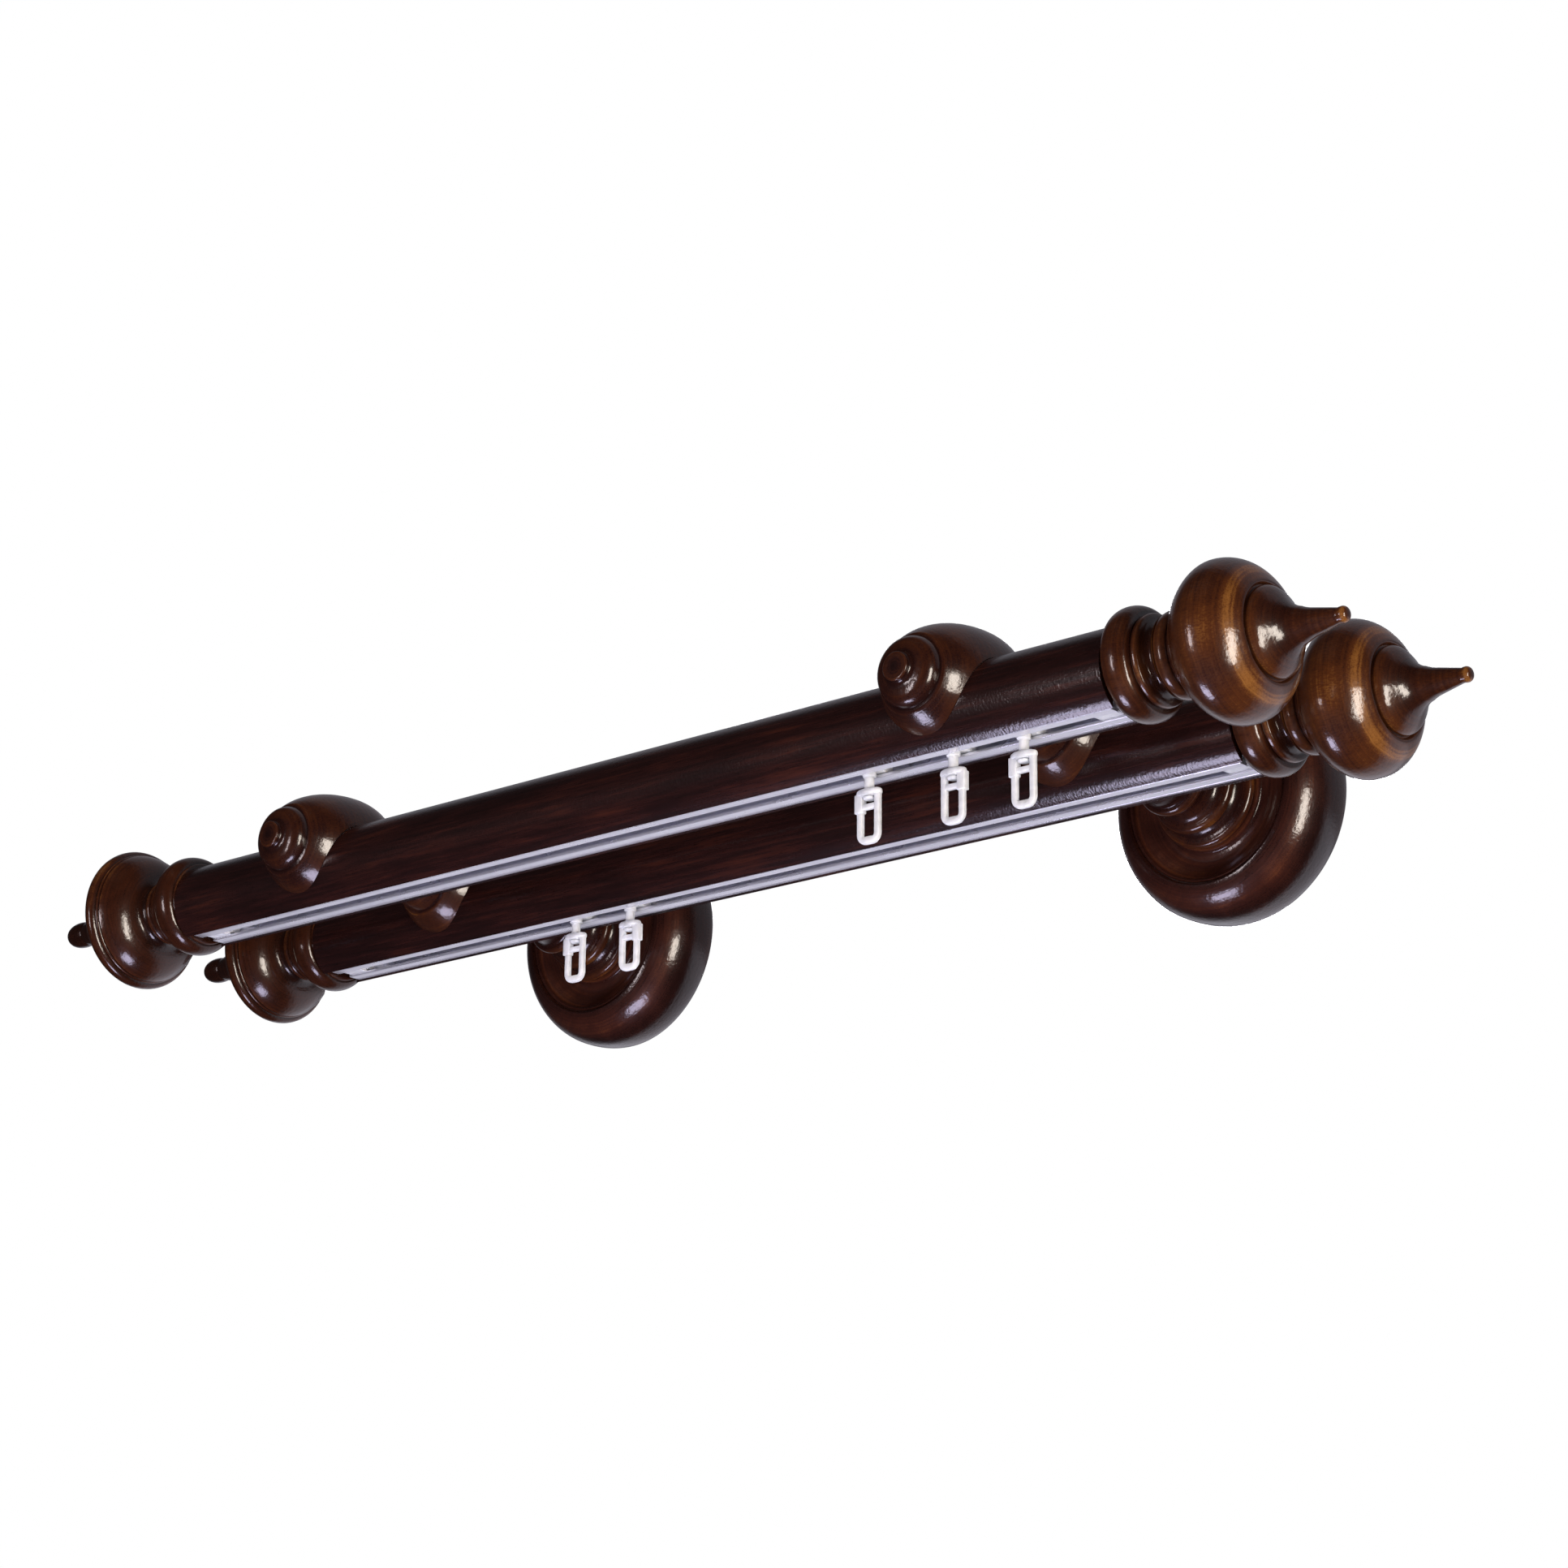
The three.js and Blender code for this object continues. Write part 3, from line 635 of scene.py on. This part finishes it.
def arm_profile(back, front):
    """From the wall: a foot inside the rose, beads and coves, both bulges, and the flat button."""
    p = Profile(3.2, 0).line(3.2, 10).line(19.9, 10).line(19.9, 16.4)
    p.bead(20.0, 23.4, 16.6, 18.2)
    p.curve((23.8, 14.2), (25.8, 13.2))
    p.bead(26.1, 30.2, 13.2, 15)
    p.curve((31, 10.2), (36.5, 10))
    p.bead(37.6, 42, 10.4, 12.1)
    p.curve((43, 9.2), (48, 9.2))
    add_bulge(p, back - 27, back)
    p.curve((back + 23.4, 10.2), (back + 26.5, 8.8))
    add_bulge(p, front - 26, front)
    p.curve((front + 23.2, 10.4), (front + 24.3, 8.6), (front + 24.6, 6.2))
    p.curve((front + 24.8, 4.3), (front + 26, 4.1)).line(front + 26.9, 4.35)
    p.curve((front + 27.3, 4.3), (front + 27.3, 3.9)).line(front + 27.3, 0)
    return p


PLATE_RECESS = 2.8
HUB_FACE = 19.6
ROSE_BORE = 10.3


def rose_profile():
    """Closed round its own bore and plate recess, so that it starts and ends on the same point."""
    p = Profile(PLATE_RECESS, ROSE_BORE).line(PLATE_RECESS, 24.5).line(0, 24.5).line(0, 37.3)
    p.curve((0.1, 37.8), (0.6, 38.2)).curve((3.5, 39.4), (8.6, 39.2))
    p.curve((15, 39), (21, 34.5), (22.2, 29.9)).curve((22.3, 29.5), (21.9, 29.3))
    p.line(20.7, 29.0).line(20.7, 28.7).curve((21.3, 28.6), (21.4, 28.2))
    p.curve((21.4, 27.7), (20.8, 27.5)).line(20.0, 27.1)
    p.curve((16.4, 23), (18, 18.9)).line(18.4, 18.5).line(HUB_FACE, 18.3).line(HUB_FACE, ROSE_BORE)
    return p.line(PLATE_RECESS, ROSE_BORE)


# ---------------------------------------------------------------- wooden pieces

def seat(piece, body, slot_name, *nodes):
    """Gives a finished piece its body, and hides the CAD nodes that it stands for. The slot name is not used.
    """
    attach(piece, body)
    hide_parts(*nodes)
    return piece


ROOT = "rods_and_brackets"
# Onion bands: the one at 38 is painted light, the lit amber round the highlights. The ring at 44.6 is end
# grain plus painted light. The band at 52.5 darkens the dome, and the one at 69.5 lightens the knob.
ONION_WEAR_AND_LIT_BANDS = ((44.6, 1.5, 1.3), (38.0, 5.0, 0.2), (52.5, 3.5, -0.6), (69.5, 1.5, 1.0))
BELL_RUBBED = ((30.5, 4.0, 0.5), (25.0, 4.0, 0.2))
ARM_RUBBED = ((129.0, 6.0, 0.8), (140.0, 10.0, 0.3), (66.0, 6.0, 0.6), (161.0, 3.0, 0.3))
ROSE_RUBBED = ((19.5, 1.6, 0.7), (17.0, 1.5, 0.7), (8.0, 5.0, -0.5))
ROD_CLEARANCE = 0.15
STUD_HOLE = 4.2
ROD_SCREW_HOLE = 1.9
SCREW_HEAD_HOLE = 3.8
TRACK_SCREW_HOLE = 1.6
arm_axis = Matrix.Rotation(-math.pi / 2, 4, "Z")  # the profile's distance runs from the wall, along -Y

for row in ROWS:
    y, z = finial_line[row]
    # The left finials take the darker palette, which is painted shade for the dimmer left end.
    for side, profile, tone_bands, shades in (("right", onion_profile(), ONION_WEAR_AND_LIT_BANDS, AMBER),
                                          ("left", bell_profile(), BELL_RUBBED, BELL_AMBER_IN_PAINTED_SHADE)):
        finish = turned_beech(f"stained_beech_{row}_{side}_finial", (0, y, z), "x", shades)
        low, high = box_mm(f"{row}_{side}_finial")
        start = low.x if side == "right" else high.x
        matrix = Matrix.Translation(Vector((start, y, z)) * MM)
        if side == "left":
            matrix = matrix @ Matrix.Rotation(math.pi, 4, "Z")
        piece = turn(f"{row}_{side}_turned_finial", profile, 96, finish, matrix, tone_bands)
        seat(piece, ROOT, "amber_wood", f"{row}_{side}_finial")


for side in SIDES:
    x = bracket_x[side]
    back, front = -rod_line["back"][0], -rod_line["front"][0]
    finish = turned_beech(f"stained_beech_{side}_arm", (x, 0, 0), "y", BRACKET_AMBER)
    place = Matrix.Translation((x * MM, 0, 0)) @ arm_axis
    arm = turn(f"{side}_turned_arm", arm_profile(back, front), 72, finish, place, ARM_RUBBED)
    cutters = [drill(STUD_HOLE, 30, (x, 3, 0), (0, -1, 0))]
    for row in ROWS:
        y, z = rod_line[row]
        cutters.append(drill(ROD_RADIUS + ROD_CLEARANCE, 60, (x - 30, y, z), (1, 0, 0), 128))
        cutters.append(drill(ROD_SCREW_HOLE, 22, (x, y, 0), (0, 0, 1), 24))
        cutters.append(drill(SCREW_HEAD_HOLE, 12, (x, y, 12), (0, 0, 1), 32))
    arm = outward(cut(arm, cutters))
    seat(arm, ROOT, "amber_wood", f"{side}_arm")

    finish = turned_beech(f"stained_beech_{side}_rose", (x, 0, 0), "y", ROSE_BROWN)
    rose = turn(f"{side}_turned_rose", rose_profile(), 120, finish, place, ROSE_RUBBED)
    seat(rose, ROOT, "dark_wood", f"{side}_rose")


# ---------------------------------------------------------------- rods and tracks

def arc(across, up, radius, start, end, pieces):
    """Points on an arc round the middle (across, up), with angles in degrees from across towards up."""
    angles = [math.radians(start + (end - start) * i / pieces) for i in range(pieces + 1)]
    return [(across + radius * math.cos(a), up + radius * math.sin(a)) for a in angles]


GROOVE_HALF = 7.65
TRACK_FACE = -11.1
TRACK_HEIGHT = 7.7
GROOVE_TOP = TRACK_FACE + TRACK_HEIGHT + 0.3
STRAIGHT_CREASE = 30
TRACK_CREASE = 8  # degrees: any more bends the shading of the flat lips at their small corner arcs


def rod_section():
    """A round with a groove along its underside, its edges broken."""
    edge = 0.35
    lip = math.degrees(math.asin((GROOVE_HALF + edge) / ROD_RADIUS))
    points = arc(0, 0, ROD_RADIUS, -90 + lip, 270 - lip, 150)
    corner_z = -math.sqrt(ROD_RADIUS ** 2 - GROOVE_HALF ** 2)
    points += [(-GROOVE_HALF - 0.08, corner_z + 0.02), (-GROOVE_HALF, corner_z + edge)]
    points += [(-GROOVE_HALF, GROOVE_TOP), (GROOVE_HALF, GROOVE_TOP)]
    points += [(GROOVE_HALF, corner_z + edge), (GROOVE_HALF + 0.08, corner_z + 0.02)]
    return points


def track_section():
    """A C-profile, open below, with a fine scored line along each lip."""
    half, slot, wall = 7.5, 2.4, 1.0
    low, high = TRACK_FACE, TRACK_FACE + TRACK_HEIGHT
    r = 0.28
    points = arc(-half + r, low + r, r, 180, 270, 4)
    points += [(-half + 1.5, low), (-half + 1.65, low + 0.16), (-half + 1.8, low)]
    points += arc(-slot - r, low + r, r, -90, 0, 4)
    points += arc(-slot - r, low + wall - r, r, 0, 90, 4)
    points += [(-half + wall, low + wall), (-half + wall, high - wall), (half - wall, high - wall)]
    points += [(half - wall, low + wall)]
    points += arc(slot + r, low + wall - r, r, 90, 180, 4)
    points += arc(slot + r, low + r, r, 180, 270, 4)
    points += [(half - 1.8, low), (half - 1.65, low + 0.16), (half - 1.5, low)]
    points += arc(half - r, low + r, r, 270, 360, 4)
    points += [(half, high), (-half, high)]
    return points


def drawn(name, path, section, finish):
    """A closed section, in millimetres, drawn along a path."""
    outline = wire("section", [(py, pz, 0.0) for py, pz in section], closed=True)
    line = wire(name, path)
    piece = grown(line, DRAWING, {"Section": outline, "Finish": finish})
    bpy.data.objects.remove(outline)
    return piece


def straight(name, x0, x1, y, z, section, finish):
    """A drawn piece along X. A section drawn along X comes out upside down, so it goes in upside down."""
    pieces = 24
    path = [(x0 + (x1 - x0) * i / pieces, 0, 0) for i in range(pieces + 1)]
    piece = drawn(name, path, [(-py, -pz) for py, pz in section], finish)
    piece.data.transform(Matrix.Translation(Vector((0, y, z)) * MM))
    return outward(piece, STRAIGHT_CREASE)


for row in ROWS:
    y, z = rod_line[row]
    x0, x1 = rod_ends[row]
    rod = straight(f"{row}_grooved_rod", x0, x1, y, z, rod_section(), rod_beech)
    fy, fz = finial_line[row]
    cutters = [drill(SOCKET_RADIUS, 21, (x0 - 1, fy, fz), (1, 0, 0)),
               drill(SOCKET_RADIUS, 21, (x1 + 1, fy, fz), (-1, 0, 0))]
    for x in bracket_x.values():
        cutters.append(drill(ROD_SCREW_HOLE, 30, (x, y, z + 2), (0, 0, 1), 24))
    screw_places = [middle_mm(f"{row}_track_screw_{i}").x for i in (1, 2)]
    for x in screw_places:
        cutters.append(drill(TRACK_SCREW_HOLE, 7, (x, y, z + GROOVE_TOP - 1), (0, 0, 1), 24))
    rod = outward(cut(rod, cutters), STRAIGHT_CREASE)
    seat(rod, ROOT, "dark_wood", f"{row}_rod")

    low, high = box_mm(f"{row}_track")
    track = straight(f"{row}_drawn_track", low.x, high.x, y, z, track_section(), aluminium)
    cutters = [drill(TRACK_SCREW_HOLE, 4, (x, y, high.z - 2), (0, 0, 1), 24) for x in screw_places]
    track = outward(cut(track, cutters), TRACK_CREASE)
    seat(track, ROOT, "track_aluminium", f"{row}_track")


# ---------------------------------------------------------------- hooks and gliders

def moulded_block(x0, x1, y0, y1, z0, z1, radius):
    """A block with its edges rounded, as a mould leaves them."""
    mesh = bpy.data.meshes.new("block")
    work = bmesh.new()
    size = Vector((x1 - x0, y1 - y0, z1 - z0)) * MM
    centre = Vector((x0 + x1, y0 + y1, z0 + z1)) * MM / 2
    bmesh.ops.create_cube(work, size=1.0, matrix=Matrix.Translation(centre) @ Matrix.Diagonal((*size, 1)))
    bmesh.ops.bevel(work, geom=work.edges[:], offset=radius * MM, segments=3, profile=0.5, affect="EDGES")
    work.to_mesh(mesh)
    work.free()
    block = bpy.data.objects.new("block", mesh)
    bpy.context.scene.collection.objects.link(block)
    return block


def moulded_turning(points, squeeze=1.0):
    """A small upright turning, squeezed in Y, for shoulders, stems and bulbs."""
    profile = Profile(*points[0])
    profile.STEP = 0.25
    for point in points[1:]:
        profile.line(*point)
    upright = Matrix.Rotation(-math.pi / 2, 4, "Y")
    return turn("moulding", profile, 32, plastic, Matrix.Diagonal((1, squeeze, 1, 1)) @ upright)


HOOK_HEIGHT = 16.7
HOOK_HALF = 4.15
HOOK_TOP = -14.9  # below the rod's axis
HOOK_BORE = 1.53
STEM_RADIUS = 1.45
NECK_RADIUS = 2.0
LEG = 1.9
THICK = 1.8
RUNNER_FLOOR = TRACK_FACE + 1.3


def loop_path():
    """The middle line of the open loop, from one upper corner round the foot to the other."""
    side = HOOK_HALF - LEG / 2
    foot = -HOOK_HEIGHT + LEG / 2 + 0.15
    r = 2.2
    leg = [-1.2 - i * 0.8 for i in range(15)]
    points = [(-side, 0, z) for z in leg]
    points += [(x, 0, z) for x, z in arc(-side + r, foot + r, r, 180, 270, 10)]
    points += [(x, 0, z) for x, z in arc(side - r, foot + r, r, 270, 360, 10)]
    points += [(side, 0, z) for z in reversed(leg)]
    return points


def leg_section():
    """The loop's own section, a rectangle with round corners."""
    r = 0.5
    a, b = LEG / 2, THICK / 2
    return (arc(a - r, b - r, r, 0, 90, 4) + arc(-a + r, b - r, r, 90, 180, 4)
            + arc(-a + r, -b + r, r, 180, 270, 4) + arc(a - r, -b + r, r, 270, 360, 4))


def make_hook(tab_side):
    """One hook round its own stem axis, with z = 0 at its top."""
    loop = outward(drawn("hook", loop_path(), leg_section(), plastic))
    half = THICK / 2
    inner = HOOK_HALF - LEG + 0.3
    tab = sorted((tab_side * (HOOK_HALF + 0.6), tab_side * (HOOK_HALF - 2.2)))
    crossbar = moulded_block(-inner, inner, -half, half, -6.1, -4.5, 0.3)
    foot = moulded_block(-inner, inner, -half + 0.05, half - 0.05, 0.4 - HOOK_HEIGHT, 2.4 - HOOK_HEIGHT, 0.3)
    thumb_tab = moulded_block(*tab, -1.18, 1.18, -7.0, -1.3, 0.3)
    shoulder = moulded_turning([(-1.9, 0), (-1.9, 4.1), (-1.75, 4.4), (-1.35, 4.55), (-0.9, 4.5),
                                (-0.5, 4.35), (-0.2, 3.95), (-0.05, 3.4), (0, 2.7), (0, 0)], 0.5)
    hub = moulded_turning([(-2.3, 0), (-2.3, 2.1), (-2.15, 2.35), (-1.5, 2.4), (-1.0, 2.4), (-1.0, 0)])
    web = moulded_block(-HOOK_HALF + 0.5, HOOK_HALF - 0.5, -half, half, -2.3, -0.9, 0.25)
    hook = cut(loop, [crossbar, foot, thumb_tab, shoulder, hub, web], "UNION")
    return outward(cut(hook, [drill(HOOK_BORE, 4.5, (0, 0, 1), (0, 0, -1), 32)]))


def make_glider():
    """The running head, neck, stem and bulb of one glider, round its own stem axis."""
    floor, face, bulb = RUNNER_FLOOR, TRACK_FACE, HOOK_TOP - 2.5
    runner = moulded_block(-4, 4, -6.1, 6.1, floor, floor + 2.4, 0.6)
    neck = moulded_turning([(face - 0.4, 0), (face - 0.4, 1.6), (face - 0.1, NECK_RADIUS),
                            (floor + 0.2, NECK_RADIUS), (floor + 1.0, NECK_RADIUS), (floor + 1.0, 0)])
    stem = moulded_turning([(bulb - 0.8, 0), (bulb - 0.8, 1.3), (bulb - 0.65, 1.7), (bulb - 0.25, 1.93),
                            (bulb, 1.9), (bulb, STEM_RADIUS), (face, STEM_RADIUS), (floor, STEM_RADIUS),
                            (floor + 0.8, STEM_RADIUS), (floor + 0.8, 0)])
    return outward(cut(runner, [neck, stem], "UNION"))


def copy_to(piece, name, x, y, z):
    """A copy of a moulded pattern, with its place in its mesh."""
    mesh = piece.data.copy()
    mesh.transform(Matrix.Translation(Vector((x, y, z)) * MM))
    mesh.materials.clear()
    mesh.materials.append(plastic)
    placed = bpy.data.objects.new(name, mesh)
    bpy.context.scene.collection.objects.link(placed)
    return placed


hook_patterns = {side: make_hook(side) for side in (-1, 1)}
glider_pattern = make_glider()
for row, i, x in hangers:
    y, z = rod_line[row]
    low, high = box_mm(f"{row}_hook_{i}")
    tab_side = 1 if high.x - x > x - low.x else -1
    hook = copy_to(hook_patterns[tab_side], f"{row}_moulded_hook_{i}", x, y, high.z)
    seat(hook, f"{row}_hook_{i}", "clear_plastic", f"{row}_hook_{i}")
    glider = copy_to(glider_pattern, f"{row}_moulded_glider_{i}", x, y, z)
    seat(glider, f"{row}_glider_{i}", "clear_plastic", f"{row}_glider_{i}")
for pattern in (*hook_patterns.values(), glider_pattern):
    bpy.data.objects.remove(pattern)


# ---------------------------------------------------------------- carried-over metal, pins and stops

CARRIED_OVER = (("screw", zinc), ("wall_plate", zinc), ("dowel", dowel_beech), ("stop", plastic))
for name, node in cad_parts.items():
    for word, finish in CARRIED_OVER:
        if word in name:
            node.data.materials.clear()
            node.data.materials.append(finish)


# ---------------------------------------------------------------- studio

def place_camera():
    """The camera stands low and to the right, and looks up at the rods."""
    azimuth, elevation, roll = (math.radians(a) for a in (40.83, -17.44, 0.54))
    back = Vector((math.sin(azimuth) * math.cos(elevation), -math.cos(azimuth) * math.cos(elevation),
                   math.sin(elevation)))
    right = Vector((math.cos(azimuth), math.sin(azimuth), 0))
    up = back.cross(right)
    turned_right = right * math.cos(roll) + up * math.sin(roll)
    turned_up = up * math.cos(roll) - right * math.sin(roll)
    rotation = Matrix((turned_right, turned_up, back)).transposed().to_4x4()
    camera = bpy.data.objects.new("camera", bpy.data.cameras.new("camera"))
    camera.data.lens = 86.45
    camera.data.sensor_width = 36.0
    camera.matrix_world = Matrix.Translation((0.6294, -0.9494, -0.3486)) @ rotation
    bpy.context.scene.collection.objects.link(camera)
    bpy.context.scene.camera = camera


def softbox(name, place, aim, width, height, power, colour, mirrored=True):
    """A soft area light at a place, turned to face an aim. It is not seen directly, and its mirror
    image on the lacquer can be left out."""
    light = bpy.data.lights.new(name, "AREA")
    light.shape = "RECTANGLE"
    light.size, light.size_y = width, height
    light.energy = power
    light.color = linear(colour)[:3]
    holder = bpy.data.objects.new(name, light)
    holder.location = place
    holder.rotation_mode = "QUATERNION"
    holder.rotation_quaternion = (Vector(place) - Vector(aim)).to_track_quat("Z", "Y")
    holder.visible_camera = False
    holder.visible_glossy = mirrored
    bpy.context.scene.collection.objects.link(holder)


def pale_floor():
    """A wide sheet far below the rods, which lights and mirrors nothing on them."""
    mesh = bpy.data.meshes.new("floor")
    half, low = 60.0, -1.6
    mesh.from_pydata([(-half, -half, low), (half, -half, low), (half, half, low), (-half, half, low)],
                     [], [(0, 1, 2, 3)])
    floor = bpy.data.objects.new("floor", mesh)
    bpy.context.scene.collection.objects.link(floor)
    # Smooth white paper: plain, matt and pale.
    material, tree, shader = new_material("white_paper")
    give(tree, shader, {
        "Base Color": linear("#404042"),
        "Roughness": 0.9,
        "Emission Color": linear("#fdfdfe"),
        "Emission Strength": 0.95,
    })
    mesh.materials.append(material)
    floor.visible_glossy = False
    floor.visible_diffuse = False


def studio_air():
    """Seen directly the air is white. On the pieces it is a bright wall behind them in a dark room."""
    world = bpy.data.worlds.new("studio")
    world.use_nodes = True
    tree = world.node_tree
    tree.nodes.clear()
    seen = put(tree, "ShaderNodeBackground", {"Color": (1, 1, 1, 1), "Strength": 1.0})
    way = put(tree, "ShaderNodeTexCoord").outputs["Generated"]
    parts = put(tree, "ShaderNodeSeparateXYZ", {0: way})
    low = put(tree, "ShaderNodeMapRange", {"Value": parts.outputs["Z"], "From Min": 0.0, "From Max": -0.22,
              "To Min": 0.30, "To Max": 0.95}, interpolation_type="SMOOTHSTEP")
    lean = put(tree, "ShaderNodeMath", {0: parts.outputs["Z"], 1: 0.3, 2: parts.outputs["Y"]},
               operation="MULTIPLY_ADD")
    wall = put(tree, "ShaderNodeMapRange", {"Value": lean.outputs[0], "From Min": 0.28, "From Max": 0.63,
               "To Min": 0.02, "To Max": low.outputs[0]}, interpolation_type="SMOOTHSTEP")
    shed = put(tree, "ShaderNodeBackground", {"Color": linear("#e6e4f0"), "Strength": wall.outputs[0]})
    ray = put(tree, "ShaderNodeLightPath")
    mix = put(tree, "ShaderNodeMixShader", {0: ray.outputs["Is Camera Ray"], 1: shed.outputs[0],
              2: seen.outputs[0]})
    put(tree, "ShaderNodeOutputWorld", {0: mix.outputs[0]})
    bpy.context.scene.world = world


place_camera()
MIDDLE = (-0.12, -0.12, -0.01)
softbox("right_softbox", (1.40, -0.62, -0.34), MIDDLE, 0.40, 0.9, 23, "#fff3e6")
softbox("front_left_softbox", (-0.62, -1.75, -0.14), MIDDLE, 0.2, 0.7, 7, "#fff0f4")
softbox("low_softbox", (-0.20, -0.23, -0.48), (-0.2, -0.15, 0.0), 0.20, 0.15, 1.2, "#e4deff")
softbox("high_softbox", (-0.2, -0.9, 1.5), MIDDLE, 1.2, 0.6, 14, "#fff8ee", mirrored=False)
softbox("back_softbox", (-1.0, 1.3, 0.45), MIDDLE, 0.6, 0.5, 12, "#fbfaff")
softbox("back_fill_softbox", (-0.6, 1.4, 0.6), MIDDLE, 1.2, 0.8, 34, "#fbfaff", mirrored=False)
softbox("fill_softbox", (0.05, -0.62, -0.60), MIDDLE, 0.9, 0.4, 6, "#f2f0ff", mirrored=False)
pale_floor()
studio_air()
bpy.context.scene.view_settings.view_transform = "Standard"
